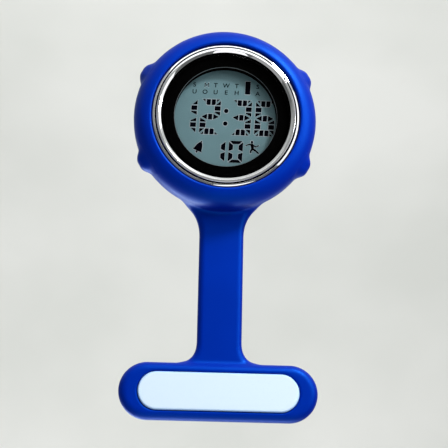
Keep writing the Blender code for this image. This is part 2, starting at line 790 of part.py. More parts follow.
def make_case_back(bosses):
    case_back = turned(
        "case_back",
        [
            (0, BACK_HIGH),
            (BACK_RADIUS, BACK_HIGH),
            (BACK_RADIUS, BACK_LOW + BACK_CHAMFER),
            (BACK_RADIUS - BACK_CHAMFER, BACK_LOW),
            (0, BACK_LOW),
        ],
        STEEL,
    )
    ring("back_gasket", BACK_GASKET_BORE, BACK_GASKET_RADIUS, BACK_GASKET_LOW, BACK_GASKET_HIGH, RUBBER)
    at = (BOSS_CIRCLE, 0)
    below = BACK_LOW - PAST
    reach, half, slot_high = CROSS_REACH, CROSS_HALF_WIDTH, CROSS_HIGH - SINK
    slot_a = (BOSS_CIRCLE - reach, -half, below), (BOSS_CIRCLE + reach, half, CROSS_HIGH)
    slot_b = (BOSS_CIRCLE - half, -reach, below), (BOSS_CIRCLE + half, reach, slot_high)
    for i, place in enumerate(bosses, 1):
        cut(
            case_back,
            rod(f"screw_hole_{i}", BOSS_HOLE, below, BACK_HIGH + PAST, None, place, at),
            rod(f"screw_seat_{i}", SCREW_SEAT_RADIUS, below, SCREW_SEAT_HIGH, None, place, at),
        )
        shank_low = (BACK_LOW + SCREW_HEAD_HIGH) / 2
        screw = rod(f"case_back_screw_{i}", SCREW_RADIUS, shank_low, SCREW_HIGH, STEEL, place, at)
        join(screw, rod(f"screw_head_{i}", SCREW_HEAD_RADIUS, BACK_LOW, SCREW_HEAD_HIGH, None, place, at))
        cut(
            screw,
            box(f"cross_slot_a_{i}", *slot_a, None, place),
            box(f"cross_slot_b_{i}", *slot_b, None, place),
        )


# Display and electronics -----------------------------------------------------------------------


def make_display():
    turned(
        "mask_ring",
        [
            (MASK_STEP_RADIUS, MASK_HIGH),
            (MASK_STEP_RADIUS, MASK_STEP),
            (MASK_RADIUS, MASK_STEP),
            (MASK_RADIUS, MASK_LOW),
            (WINDOW_RADIUS, MASK_LOW),
            (WINDOW_RADIUS, MASK_HIGH),
        ],
        BLACK,
    )
    disc("lcd_polariser", POLARISER_RADIUS, POLARISER_LOW, POLARISER_HIGH, LCD)
    side = math.degrees(math.acos(LCD_HALF_WIDTH / LCD_RADIUS))
    edge = arc((0, 0), LCD_RADIUS, side, 180 - side, 16)
    plate("lcd_glass", edge + [(-x, -y) for x, y in edge], LCD_LOW, LCD_HIGH, LCD, HEAD)
    disc("lcd_reflector", REFLECTOR_RADIUS, REFLECTOR_LOW, REFLECTOR_HIGH, LCD)
    reach, half = ZEBRA_LENGTH / 2, ZEBRA_WIDTH / 2
    for name, y in (("lower", -ZEBRA_Y), ("upper", ZEBRA_Y)):
        low, high = (-reach, y - half, ZEBRA_LOW), (reach, y + half, ZEBRA_HIGH)
        box(f"zebra_strip_{name}", low, high, ZEBRA, HEAD)


def make_module_frame(bosses):
    """The electronics' plastic ring. The battery lies in its narrow part, the board on its step."""
    frame = turned(
        "module_frame",
        [
            (FRAME_RADIUS, FRAME_HIGH),
            (FRAME_RADIUS, FRAME_LOW),
            (FRAME_NARROW, FRAME_LOW),
            (FRAME_NARROW, FRAME_STEP),
            (FRAME_WIDE, FRAME_STEP),
            (FRAME_WIDE, FRAME_HIGH),
        ],
        BLACK,
    )
    low, high = FRAME_LOW - PAST, BOSS_HIGH + BOSS_NOTCH_GAP
    for i, place in enumerate(bosses, 1):
        outline = boss_outline(BOSS_RADIUS + BOSS_NOTCH_GAP, FRAME_RADIUS + PAST)
        cut(frame, plate(f"boss_notch_{i}", outline, low, high, None, place))
    inner = STEM_LOW - BUTTON_TRAVEL - PAST
    for hour, place in RADIAL_AXES.items():
        cut(frame, rod(f"stem_notch_{hour}h", STEM_NOTCH_RADIUS, inner, FRAME_RADIUS + PAST, None, place))


def make_electronics():
    disc("circuit_board", BOARD_RADIUS, BOARD_LOW, BOARD_HIGH, BOARD)
    chip_base = BOARD_LOW - 0.1
    dome = [(CHIP_REACH[0] * x, chip_base - CHIP_REACH[1] * y) for x, y in arc((0, 0), 1.0, 0, 90, 4)]
    turned("chip_blob", [(0, chip_base)] + dome, BLACK, at=CHIP_AT, sides=16)
    rod("quartz_can", QUARTZ_RADIUS, QUARTZ_LOW, QUARTZ_HIGH, STEEL, HEAD, QUARTZ_AT, along="X")
    battery = [
        (0, BATTERY_HIGH),
        (BATTERY_CAP_RADIUS, BATTERY_HIGH),
        (BATTERY_CAP_RADIUS, BATTERY_CAP_LOW),
        (BATTERY_GROOVE_RADIUS, BATTERY_CAP_LOW),
        (BATTERY_RADIUS, BATTERY_CAP_LOW - 0.2),
        (BATTERY_RADIUS, BATTERY_LOW + 0.15),
        (BATTERY_RADIUS - 0.15, BATTERY_LOW),
        (0, BATTERY_LOW),
    ]
    turned("battery", battery, STEEL, at=(0, BATTERY_Y))
    contact_low = (-CONTACT_HALF_LENGTH, BATTERY_Y - CONTACT_HALF_WIDTH, CONTACT_LOW)
    contact_high = (CONTACT_HALF_LENGTH, BATTERY_Y + CONTACT_HALF_WIDTH, CONTACT_HIGH)
    box("battery_contact", contact_low, contact_high, BRASS, HEAD)
    clip = plate("battery_clip", stadium(CLIP_LENGTH, CLIP_WIDTH, 6), CLIP_LOW, CLIP_HIGH, STEEL, HEAD)
    clip.location.y = BATTERY_Y * MM
    disc("piezo_disc", PIEZO_RADIUS, PIEZO_LOW, PIEZO_HIGH, BRASS)
    wire = (BUZZER_SPRING_RADIUS, BUZZER_SPRING_WIRE, BUZZER_SPRING_TURNS)
    coil("buzzer_spring", *wire, BUZZER_SPRING_LOW, BUZZER_SPRING_HIGH, STEEL, HEAD, BUZZER_SPRING_AT)


# Buttons ---------------------------------------------------------------------------------------


def make_buttons():
    inside = (STEM_HEAD_LOW + STEM_HEAD_HIGH) / 2
    for hour, place in RADIAL_AXES.items():
        stem = rod(f"button_stem_{hour}h", STEM_RADIUS, STEM_LOW, inside, STEEL, place)
        join(stem, rod(f"stem_head_{hour}h", STEM_HEAD_RADIUS, STEM_HEAD_LOW, STEM_HEAD_HIGH, None, place))
        spring = (SPRING_RADIUS, SPRING_WIRE, SPRING_TURNS, SPRING_LOW, SPRING_HIGH)
        coil(f"button_spring_{hour}h", *spring, STEEL, place)
        bore = STEM_RADIUS + RETAINER_GAP
        retainer = (bore, RETAINER_RADIUS, RETAINER_LOW, RETAINER_HIGH)
        clip = ring(f"button_clip_{hour}h", *retainer, STEEL, place, 16)
        slot_low = (0.0, -RETAINER_SLOT, RETAINER_LOW - PAST)
        slot_high = (RETAINER_RADIUS + PAST, RETAINER_SLOT, RETAINER_HIGH + PAST)
        cut(clip, box(f"clip_slot_{hour}h", slot_low, slot_high, None, place))


def main():
    make_bar()
    make_head()
    make_button_pads()
    make_name_plate()
    make_brooch_plate()
    make_brooch_pin()
    make_pin_rivet()
    make_safety_catch()
    make_brooch_rivets()
    bosses = boss_axes()
    make_case_body(bosses)
    make_bezel()
    make_glass()
    make_case_back(bosses)
    make_display()
    make_module_frame(bosses)
    make_electronics()
    make_buttons()


main()
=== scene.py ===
"""Looks of the digital fob watch: silicone holder, chromed watch, display and brooch, round the CAD frame.

Shapes are worked out in front-view millimetres, as in the CAD model: x to the right, y up, and h forward
from the brooch plate's outer face. world() turns them into the frame's metres.
"""

import math

import bpy
import numpy as np
from mathutils import Matrix, Vector

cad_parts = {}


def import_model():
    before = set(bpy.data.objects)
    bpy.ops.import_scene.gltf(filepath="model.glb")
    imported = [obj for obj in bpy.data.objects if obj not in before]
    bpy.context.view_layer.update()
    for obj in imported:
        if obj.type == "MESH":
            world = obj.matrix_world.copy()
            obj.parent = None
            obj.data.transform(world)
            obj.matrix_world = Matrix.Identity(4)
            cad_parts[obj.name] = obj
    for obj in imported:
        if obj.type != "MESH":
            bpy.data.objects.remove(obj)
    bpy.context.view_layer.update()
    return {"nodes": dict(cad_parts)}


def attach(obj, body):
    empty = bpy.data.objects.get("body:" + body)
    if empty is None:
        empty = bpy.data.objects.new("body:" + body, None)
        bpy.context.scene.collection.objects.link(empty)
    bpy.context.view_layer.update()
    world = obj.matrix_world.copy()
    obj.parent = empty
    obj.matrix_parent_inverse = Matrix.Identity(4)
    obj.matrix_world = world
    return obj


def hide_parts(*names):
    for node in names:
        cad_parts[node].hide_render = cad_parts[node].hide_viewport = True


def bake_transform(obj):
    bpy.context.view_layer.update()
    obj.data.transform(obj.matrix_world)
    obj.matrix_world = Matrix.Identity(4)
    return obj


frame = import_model()

MM = 0.001
HOURS = (2, 4, 8, 10)

# The sizes that the shapes here share with the CAD model, in millimetres
HEAD_Y = -59.4
HEAD_RADIUS = 20.0
HOLDER_BACK = 0.3
SLEEVE_FRONT = 10.85
BAR_LENGTH, BAR_HEIGHT, BAR_FRONT = 42.6, 12.3, 4.7
STRAP_WIDTH, STRAP_FRONT = 9.65, 3.5
PLATE_LENGTH, PLATE_HEIGHT, PLATE_FRONT = 34.4, 8.1, 5.0
RECESS_FLOOR = 3.5
STRIP_LENGTH, STRIP_HEIGHT, STRIP_FRONT = 33.4, 5.0, 0.7
BUTTON_H = 5.7
LCD_FRONT = 6.98


def world(points):
    """Front-view millimetres to the frame's metres."""
    p = np.asarray(points, float).reshape(-1, 3)
    return np.stack([p[:, 0], -p[:, 2], p[:, 1]], 1) * MM


def clock_angle(hour):
    """The dial reads upside down to an onlooker, so 12 o'clock points straight down."""
    return math.radians(270 - 30 * hour)


def on_body(piece, body, slot, *nodes):
    """The piece moves with a body, and takes the place of these CAD nodes."""
    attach(piece, body)
    if nodes:
        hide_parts(*nodes)


# Materials -------------------------------------------------------------------------------------


def linear(r, g, b):
    """sRGB, from 0 to 255, to linear, with an alpha of 1."""
    shares = (c / 255 for c in (r, g, b))
    return tuple(((c + 0.055) / 1.055) ** 2.4 if c > 0.0404 else c / 12.92 for c in shares) + (1.0,)


class Nodes:
    """A material's node tree, with short calls to add and link nodes."""

    def __init__(self, name):
        self.material = bpy.data.materials.new(name)
        self.material.use_nodes = True
        self.tree = self.material.node_tree
        self.shader = self.tree.nodes["Principled BSDF"]
        self.place = self.add("ShaderNodeTexCoord").outputs["Object"]

    def add(self, kind, values=None, **settings):
        node = self.tree.nodes.new(kind)
        for key, value in settings.items():
            setattr(node, key, value)
        for key, value in (values or {}).items():
            self.put(node.inputs[key], value)
        return node

    def put(self, socket, value):
        if isinstance(value, bpy.types.NodeSocket):
            self.tree.links.new(value, socket)
        else:
            socket.default_value = value

    def set(self, **values):
        """Principled inputs, with their names' spaces written as underscores."""
        for key, value in values.items():
            self.put(self.shader.inputs[key.replace("_", " ")], value)

    def noise(self, scale, detail=3.0, roughness=0.5, vector=None):
        values = {"Scale": scale, "Detail": detail, "Roughness": roughness, "Vector": vector or self.place}
        return self.add("ShaderNodeTexNoise", values).outputs["Fac"]

    def ramp(self, factor, *stops):
        """A colour ramp of (position, colour) stops."""
        node = self.add("ShaderNodeValToRGB", {"Fac": factor})
        node.color_ramp.elements[0].position, node.color_ramp.elements[1].position = stops[0][0], stops[-1][0]
        node.color_ramp.elements[0].color, node.color_ramp.elements[1].color = stops[0][1], stops[-1][1]
        for position, colour in stops[1:-1]:
            node.color_ramp.elements.new(position).color = colour
        return node.outputs["Color"]

    def spread(self, factor, low, high, start=0.3, end=0.7):
        """A factor stretched to run from low to high."""
        values = {"Value": factor, "From Min": start, "From Max": end, "To Min": low, "To Max": high}
        return self.add("ShaderNodeMapRange", values).outputs["Result"]

    def bump(self, height, distance, strength=1.0, normal=None):
        values = {"Height": height, "Distance": distance, "Strength": strength}
        if normal is not None:
            values["Normal"] = normal
        return self.add("ShaderNodeBump", values).outputs["Normal"]


def silicone():
    """Matte blue, with a fine grain and a rare speck of dust."""
    n = Nodes("blue_silicone")
    tone = n.noise(60.0, 2.0)
    grain = n.noise(5200.0, 2.0)
    base = n.ramp(tone, (0.35, linear(0, 25, 141)), (0.65, linear(0, 29, 149)))
    dust = n.add("ShaderNodeTexVoronoi", {"Scale": 520.0, "Vector": n.place})
    speck = n.spread(dust.outputs["Distance"], 1.0, 0.0, 0.05, 0.09)
    rare = n.spread(dust.outputs["Color"], 0.0, 1.0, 0.86, 0.88)
    amount = n.add("ShaderNodeMath", {0: speck, 1: rare}, operation="MULTIPLY").outputs["Value"]
    amount = n.add("ShaderNodeMath", {0: amount, 1: 0.35}, operation="MULTIPLY").outputs["Value"]
    values = {"Factor": amount, "A": base, "B": linear(120, 160, 230)}
    mixed = n.add("ShaderNodeMix", values, data_type="RGBA")
    n.set(Base_Color=mixed.outputs["Result"], Roughness=n.spread(grain, 0.4, 0.5), Metallic=0.2)
    n.set(Specular_IOR_Level=0.3, Specular_Tint=(0.0, 0.75, 1.0, 1.0), Normal=n.bump(grain, 0.00002, 0.3))
    return n.material


def plain(name, colour, rough, metallic=0.0, grain=900.0, depth=0.000004, **more):
    """A moulded or plated finish: a little tone, and fine grain in its roughness and surface."""
    n = Nodes(name)
    fine = n.noise(grain, 3.0)
    dark = tuple(c * 0.88 for c in colour[:3]) + (1.0,)
    n.set(Base_Color=n.ramp(n.noise(90.0), (0.3, dark), (0.7, colour)), Metallic=metallic)
    n.set(Roughness=n.spread(fine, rough * 0.85, rough * 1.15), Normal=n.bump(fine, depth, 0.5))
    n.set(**more)
    return n.material


def lathe_turned():
    """Steel with the fine rings that a lathe leaves, about the watch's middle."""
    n = Nodes("case_back_steel")
    to_middle = {0: n.place, 1: (0, 0, -HEAD_Y * MM)}
    at = n.add("ShaderNodeVectorMath", to_middle, operation="ADD").outputs["Vector"]
    flat = n.add("ShaderNodeVectorMath", {0: at, 1: (1, 0, 1)}, operation="MULTIPLY").outputs["Vector"]
    reach = n.add("ShaderNodeVectorMath", {0: flat}, operation="LENGTH").outputs["Value"]
    values = {"W": reach, "Scale": 9000.0, "Detail": 3.0}
    rings = n.add("ShaderNodeTexNoise", values, noise_dimensions="1D").outputs["Fac"]
    n.set(Base_Color=n.ramp(rings, (0.3, linear(178, 178, 180)), (0.7, linear(204, 204, 206))), Metallic=1.0)
    n.set(Roughness=n.spread(rings, 0.26, 0.4), Normal=n.bump(rings, 0.000004, 0.4))
    return n.material


def plate_with_painted_rim():
    """White plastic with painted shade at its rim: darker and bluer there, standing in for the shade on its
    rounded edge and the silicone's blue light coming through.
    """
    n = Nodes("white_plate_painted_rim_shade")
    at = n.add("ShaderNodeSeparateXYZ", {"Vector": n.place})
    side = n.add("ShaderNodeMath", {0: at.outputs["X"]}, operation="ABSOLUTE").outputs["Value"]
    straight = (PLATE_LENGTH - PLATE_HEIGHT) / 2 * MM
    side = n.add("ShaderNodeMath", {0: side, 1: straight}, operation="SUBTRACT").outputs["Value"]
    side = n.add("ShaderNodeMath", {0: side, 1: 0.0}, operation="MAXIMUM").outputs["Value"]
    flat = n.add("ShaderNodeCombineXYZ", {"X": side, "Y": at.outputs["Z"]}).outputs["Vector"]
    reach = n.add("ShaderNodeVectorMath", {0: flat}, operation="LENGTH").outputs["Value"]
    # painted shade: the plate turns darker and bluer over its rounded rim
    rim = n.spread(reach, 0.0, 1.0, 3.3 * MM, 4.1 * MM)
    middle, inner, outer = linear(194, 212, 230), linear(190, 210, 232), linear(120, 170, 228)
    n.set(Base_Color=n.ramp(rim, (0.0, middle), (0.45, inner), (1.0, outer)))
    n.set(Roughness=n.spread(n.noise(2600.0), 0.26, 0.34), Specular_IOR_Level=0.3)
    return n.material


SILICONE = silicone()
PLATE = plate_with_painted_rim()
CHROME = plain("polished_chrome", linear(226, 227, 230), 0.03, 1.0, 400.0, 0.000001)
STEEL = plain("brooch_steel", linear(158, 159, 162), 0.33, 1.0, 2400.0, 0.000001)
BRIGHT_STEEL = plain("case_steel", linear(150, 151, 154), 0.26, 1.0, 2400.0, 0.000001)
# painted highlight: the lighter grey of the mask's chamfer, where the key light would catch it
MASK_EDGE_PAINTED_HIGHLIGHT = plain("mask_edge_painted_highlight", linear(76, 84, 88), 0.4)
BLACK = plain("black_plastic", linear(3, 3, 3), 0.6, depth=0.0000004, Specular_IOR_Level=0.0)
CASE = plain("case_plastic", linear(30, 30, 32), 0.42)
RUBBER = plain("gasket_rubber", linear(20, 20, 20), 0.6)
CASE_BACK = lathe_turned()
LCD = plain("lcd_grey", linear(87, 113, 119), 0.4, grain=3000.0, Specular_IOR_Level=0.2)
LCD_LIGHT = plain("lcd_unlit_line", linear(146, 152, 158), 0.5, grain=3000.0, Specular_IOR_Level=0.0)
INK = plain("lcd_dark_segment", linear(4, 4, 10), 0.6, grain=3000.0, Specular_IOR_Level=0.0)
ZEBRA = plain("zebra_rubber", linear(190, 150, 150), 0.6)
BOARD = plain("board_green", linear(20, 90, 50), 0.45)
BRASS = plain("contact_brass", linear(205, 170, 100), 0.3, 1.0)


def glass():
    """Thin clear glass: what is behind shows through it, and it mirrors more the flatter it is seen."""
    n = Nodes("watch_glass")
    facing = n.add("ShaderNodeLayerWeight", {"Blend": 0.5}).outputs["Facing"]
    grazing = n.add("ShaderNodeMath", {0: facing, 1: 5.0}, operation="POWER").outputs["Value"]
    share = n.spread(grazing, 0.02, 0.35, 0.0, 1.0)
    clear = n.add("ShaderNodeBsdfTransparent", {"Color": (0.97, 0.98, 0.98, 1.0)})
    mirror = n.add("ShaderNodeBsdfGlossy", {"Color": (1.0, 1.0, 1.0, 1.0), "Roughness": 0.0})
    mix = n.add("ShaderNodeMixShader", {0: share, 1: clear.outputs[0], 2: mirror.outputs[0]})
    n.put(n.tree.nodes["Material Output"].inputs["Surface"], mix.outputs[0])
    n.tree.nodes.remove(n.shader)
    return n.material


GLASS = glass()

# The silicone holder's form --------------------------------------------------------------------
#
# A signed distance is worked out on a grid, smooth unions give the moulding's fillets, and the mesh is
# drawn where the distance is zero. A smooth union stands at most a quarter of its reach proud.


def smooth_min(a, b, reach):
    """The union of two distances, filleted where they differ by less than the reach."""
    share = np.clip(0.5 + 0.5 * (b - a) / reach, 0, 1)
    return b + (a - b) * share - reach * share * (1 - share)


def smooth_max(a, b, reach):
    """The part common to two distances, with the edge between them rounded."""
    return -smooth_min(-a, -b, reach)


def slab(flat, h, low, high, rounded):
    """An outline's flat distance given a thickness, with its edges rounded."""
    across = flat + rounded
    through = np.abs(h - (low + high) / 2) - (high - low) / 2 + rounded
    outside = np.hypot(np.maximum(across, 0), np.maximum(through, 0))
    return outside + np.minimum(np.maximum(across, through), 0) - rounded


def stadium(x, y, length, height):
    """The flat distance to a bar with half-round ends."""
    return np.hypot(np.maximum(np.abs(x) - (length - height) / 2, 0), y) - height / 2


def pocket(radius, h):
    """The room for the watch, its front opening and the smaller opening in the sleeve's back."""
    room = np.maximum(radius - 16.9, np.abs(h - 4.95) - 3.65)
    front = np.maximum(radius - 16.2, 5.0 - h)
    back = np.maximum(radius - 13.9, h - 5.0)
    return np.minimum(room, np.minimum(front, back))


def sleeve_outside(x, y, h):
    """The sleeve as a plain rounded disc, before the watch's room is cut from it."""
    return slab(np.hypot(x, y - HEAD_Y) - HEAD_RADIUS, h, HOLDER_BACK, SLEEVE_FRONT, 4.2)


def holder(x, y, h):
    """The whole moulding: bar, strap and sleeve, less the room for the watch, the plate and the strip."""
    radius = np.hypot(x, y - HEAD_Y)
    sleeve = sleeve_outside(x, y, h)
    bar_outline = stadium(x, y, BAR_LENGTH, BAR_HEIGHT)
    bar = slab(bar_outline, h, HOLDER_BACK, BAR_FRONT, 1.9)

    # The strap widens into the bar and the sleeve, and is kept from growing past them
    strap = np.maximum(np.abs(x) - STRAP_WIDTH / 2, np.maximum(y, HEAD_Y + 14.0 - y))
    outline = smooth_min(smooth_min(strap, radius - 19.6, 6.4), bar_outline, 4.8)
    strap = slab(outline, h, HOLDER_BACK, STRAP_FRONT, 1.25)
    strap = smooth_max(smooth_max(strap, np.abs(x) - 8.9, 1.6), y, 1.0)

    body = smooth_min(smooth_min(bar, strap, 0.8), sleeve, 1.2)
    gap = 0.2
    plate_recess = np.maximum(stadium(x, y, PLATE_LENGTH + gap, PLATE_HEIGHT + gap), RECESS_FLOOR - h)
    strip_recess = np.maximum(stadium(x, y, STRIP_LENGTH, STRIP_HEIGHT), h - STRIP_FRONT)
    body = smooth_max(body, -pocket(radius, h), 0.55)
    return smooth_max(body, -np.minimum(plate_recess, strip_recess), 0.25)


def surface(name, distance, low, high, step, material):
    """The zero surface of a distance, as quads: one vertex in each grid cell that it crosses."""
    sides = [np.arange(a, b + step, step) for a, b in zip(low, high)]
    grid = np.stack(np.meshgrid(*sides, indexing="ij"), -1)
    value = distance(grid[..., 0], grid[..., 1], grid[..., 2])
    inside = value < 0
    shape = np.array(value.shape)
    cells = shape - 1
    total = np.zeros((*cells, 3))
    count = np.zeros(cells)
    quads = []
    number = np.arange(np.prod(cells)).reshape(cells)
    for axis in range(3):
        # Edges of the grid along this axis, and where the surface crosses them
        first = [slice(None)] * 3
        second = [slice(None)] * 3
        first[axis], second[axis] = slice(None, -1), slice(1, None)
        a, b = value[tuple(first)], value[tuple(second)]
        crossed = inside[tuple(first)] != inside[tuple(second)]
        at = np.argwhere(crossed)
        share = a[crossed] / (a[crossed] - b[crossed])
        point = np.array([s[i] for s, i in zip(sides, at.T)]).T
        point[:, axis] += share * step
        others = [i for i in range(3) if i != axis]
        ring = []
        for du, dv in ((0, 0), (1, 0), (1, 1), (0, 1)):
            cell = at.copy()
            cell[:, others[0]] -= du
            cell[:, others[1]] -= dv
            ring.append(cell)
            index = tuple(cell.T)
            np.add.at(total, index, point)
            np.add.at(count, index, 1)
        quad = np.stack([number[tuple(cell.T)] for cell in ring], 1)
        outward = inside[tuple(first)][crossed]
        if axis == 1:
            outward = ~outward
        quads.append(np.where(outward[:, None], quad, quad[:, ::-1]))
    used = count.reshape(-1) > 0
    points = total.reshape(-1, 3)[used] / count.reshape(-1, 1)[used]
    renumbered = np.cumsum(used) - 1
    quads = renumbered[np.concatenate(quads)]
    for _ in range(3):  # settle each vertex on the surface
        d = distance(*points.T)
        slope = np.stack(
            [(distance(*(points + e).T) - distance(*(points - e).T)) / 0.04 for e in np.eye(3) * 0.02], 1
        )
        size = np.maximum((slope**2).sum(1), 0.25)
        points = points - np.clip(d / size, -step / 2, step / 2)[:, None] * slope
    return mesh_piece(name, world(points), quads, material)


def mesh_piece(name, points, faces, material, smooth=True):
    """An object in the scene from points in metres and faces of point numbers."""
    data = bpy.data.meshes.new(name)
    data.from_pydata([tuple(p) for p in points], [], [tuple(int(i) for i in f) for f in faces])
    data.materials.append(material)
    if smooth:
        data.shade_smooth()
    made = bpy.data.objects.new(name, data)
    bpy.context.scene.collection.objects.link(made)
    return made


def make_holder():
    """One mesh from bar to sleeve, in place of the CAD's holder bar and head."""
    piece = surface("silicone_holder", holder, (-22.0, -80.2, -0.4), (22.0, 6.9, 11.6), 0.3, SILICONE)
    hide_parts("holder_bar", "holder_head")
    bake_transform(piece)


def make_bump(hour):
    """A raised thin spot of the sleeve over a button."""
    angle = clock_angle(hour)
    out = np.array([math.cos(angle), math.sin(angle)])
    dome_middle, dome_radius, fillet = 19.2, 1.7, 1.5
    proud = 0.015  # the patch lies just over the sleeve, so that the two don't flicker
    patch_across, patch_up, patch_start = 4.4, 3.6, 19.0

    def bump(x, y, h):
        along = x * out[0] + (y - HEAD_Y) * out[1]
        across = (y - HEAD_Y) * out[0] - x * out[1]
        up = h - BUTTON_H
        size = np.stack([np.abs(along - dome_middle) - 0.4, np.abs(across) - 0.5, np.abs(up) - 0.4])
        dome = np.linalg.norm(np.maximum(size, 0), axis=0) - dome_radius
        skin = smooth_min(sleeve_outside(x, y, h), dome, fillet) - proud
        inside = np.maximum(np.abs(up) - patch_up, patch_start - along)
        return np.maximum(skin, np.maximum(np.abs(across) - patch_across, inside))

    middle = 20.2 * out + np.array([0, HEAD_Y])
    low, high = (*(middle - 4.8), BUTTON_H - 4.2), (*(middle + 4.8), BUTTON_H + 4.2)
    piece = surface(f"button_bump_{hour}h", bump, low, high, 0.16, SILICONE)
    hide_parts(f"button_pad_{hour}h")

    def at(radius):
        return world((radius * out[0], HEAD_Y + radius * out[1], BUTTON_H))[0]

    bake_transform(piece)


def make_spring(hour):
    """The CAD's button spring, in bright steel."""
    node, angle = f"button_spring_{hour}h", clock_angle(hour)
    shown = frame["nodes"][node]
    data = shown.data.copy()
    data.transform(shown.matrix_world)
    data.materials.clear()
    data.materials.append(BRIGHT_STEEL)
    piece = bpy.data.objects.new(f"spring_{hour}h", data)
    bpy.context.scene.collection.objects.link(piece)
    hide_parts(node)
    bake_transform(piece)


# Turned and layered pieces -----------------------------------------------------------------------


def rounded(points, radii, steps=6):
    """A closed outline with its corners rounded off."""
    made = []
    for i, (corner, radius) in enumerate(zip(points, radii)):
        corner = np.array(corner, float)
        before = np.array(points[i - 1], float) - corner
        after = np.array(points[(i + 1) % len(points)], float) - corner
        if not radius:
            made.append(corner)
            continue
        before /= np.linalg.norm(before)
        after /= np.linalg.norm(after)
        half = math.acos(np.clip(before @ after, -1, 1)) / 2
        reach = radius / math.tan(half)
        middle = (before + after) / np.linalg.norm(before + after) * radius / math.sin(half) + corner
        a, b = corner + before * reach - middle, corner + after * reach - middle
        for k in range(steps + 1):
            way = a + (b - a) * k / steps
            made.append(middle + way / np.linalg.norm(way) * radius)
    return made


def turned(name, outline, material, other=None, where=None, sides=256):
    """A ring about the watch's middle from a closed section of (radius, h), listed down its outer side.

    The other material goes on the faces where the section's middle meets the condition.
    """
    section = np.array(outline)
    angles = np.linspace(0, 2 * math.pi, sides, endpoint=False)
    points = [(r * math.cos(a), HEAD_Y + r * math.sin(a), h) for a in angles for r, h in section]
    count = len(section)
    faces = []
    for i in range(sides):
        near, far = i * count, (i + 1) % sides * count
        for k in range(count):
            after = (k + 1) % count
            faces.append((near + k, far + k, far + after, near + after))
    piece = mesh_piece(name, world(points), faces, material)
    if other:
        piece.data.materials.append(other)
        chosen = [where(*(section[k] + section[(k + 1) % count]) / 2) for k in range(count)]
        piece.data.polygons.foreach_set("material_index", [int(c) for c in chosen] * sides)
    return piece


def disc(name, outline, material, sides=160):
    """A solid of revolution: its half section of (radius, h), from the top's edge down to the bottom's."""
    angles = np.linspace(0, 2 * math.pi, sides, endpoint=False)
    points = [(r * math.cos(a), HEAD_Y + r * math.sin(a), h) for r, h in outline for a in angles]
    top, bottom = len(points), len(points) + 1
    points += [(0, HEAD_Y, outline[0][1]), (0, HEAD_Y, outline[-1][1])]
    faces = []
    for i in range(sides):
        after = (i + 1) % sides
        for k in range(len(outline) - 1):
            row, lower = k * sides, (k + 1) * sides
            faces.append((row + after, row + i, lower + i, lower + after))
        faces.append((top, i, after))
        faces.append((bottom, (len(outline) - 1) * sides + after, (len(outline) - 1) * sides + i))
    return mesh_piece(name, world(points), faces, material)


def layers(name, outlines, material):
    """A closed solid through outlines of equal counts, each a list of (x, y) with its h, from the back."""
    count = len(outlines[0][0])
    points = [(x, y, h) for outline, h in outlines for x, y in outline]
    faces = [tuple(range(count))[::-1], tuple(range(len(points) - count, len(points)))]
    for k in range(len(outlines) - 1):
        for i in range(count):
            after = (i + 1) % count
            low, high = k * count, (k + 1) * count
            faces.append((low + i, low + after, high + after, high + i))
    return mesh_piece(name, world(points), faces, material)


def stadium_outline(length, height, steps=40):
    """The points of a bar with half-round ends."""
    reach, radius = (length - height) / 2, height / 2
    turns = np.linspace(-math.pi / 2, math.pi / 2, steps)
    right = [(reach + radius * math.cos(t), radius * math.sin(t)) for t in turns]
    return right + [(-x, -y) for x, y in right]


def make_name_plate():
    """A white plate let into the bar, with its front edge rounded."""
    edge, shoulder = 0.4, PLATE_FRONT - 0.4
    profile = [(0.12, 3.6), (0.0, 3.72), (0.0, shoulder)]
    turns = np.linspace(0.2, 1.57, 8)
    profile += [(edge - edge * math.cos(t), shoulder + edge * math.sin(t)) for t in turns]
    profile += [(edge + 0.1, PLATE_FRONT), (edge + 0.25, PLATE_FRONT)]
    outlines = [
        (stadium_outline(PLATE_LENGTH - 2 * inset, PLATE_HEIGHT - 2 * inset), h) for inset, h in profile
    ]
    piece = layers("white_plate", outlines, PLATE)
    on_body(piece, "bar", "white_plate", "name_plate")


def make_bezel():
    """A polished ring with a bevel towards the glass, a narrow groove and a rounded outer flange."""
    ring = [(14.64, 10.76), (15.15, 10.74)]
    groove = [(15.18, 9.9), (15.44, 9.9)]
    flange = [(15.46, 10.42), (15.94, 10.25), (16.0, 9.9), (16.0, 8.5)]
    bore = [(14.15, 8.5), (14.15, 10.46)]
    radii = [0.16, 0.12, 0.03, 0.03, 0.07, 0.06, 0.05, 0.05, 0.05, 0.03]

    def painted_shade(r, h):
        """Painted shade: the bore behind the glass's edge and the groove's inside are drawn in black plastic
        instead of chrome.
        """
        return r < 14.18 and h < 10.4 or 15.16 < r < 15.48 and h < 10.35

    # the chrome's bore and groove take black plastic as painted shade
    piece = turned("chrome_bezel", rounded(ring + groove + flange + bore, radii), CHROME, BLACK, painted_shade)
    on_body(piece, "watch_head", "chrome", "bezel")


def make_glass():
    """A flat glass with a small chamfer. The rings near its edge keep its faces' shading flat."""
    section = [(13.8, 10.4), (13.96, 10.4), (14.05, 10.31), (14.05, 9.25), (14.0, 9.2), (13.8, 9.2)]
    piece = disc("watch_glass", section, GLASS)
    piece.data.set_sharp_from_angle(angle=math.radians(20))
    on_body(piece, "watch_head", "glass", "crystal")


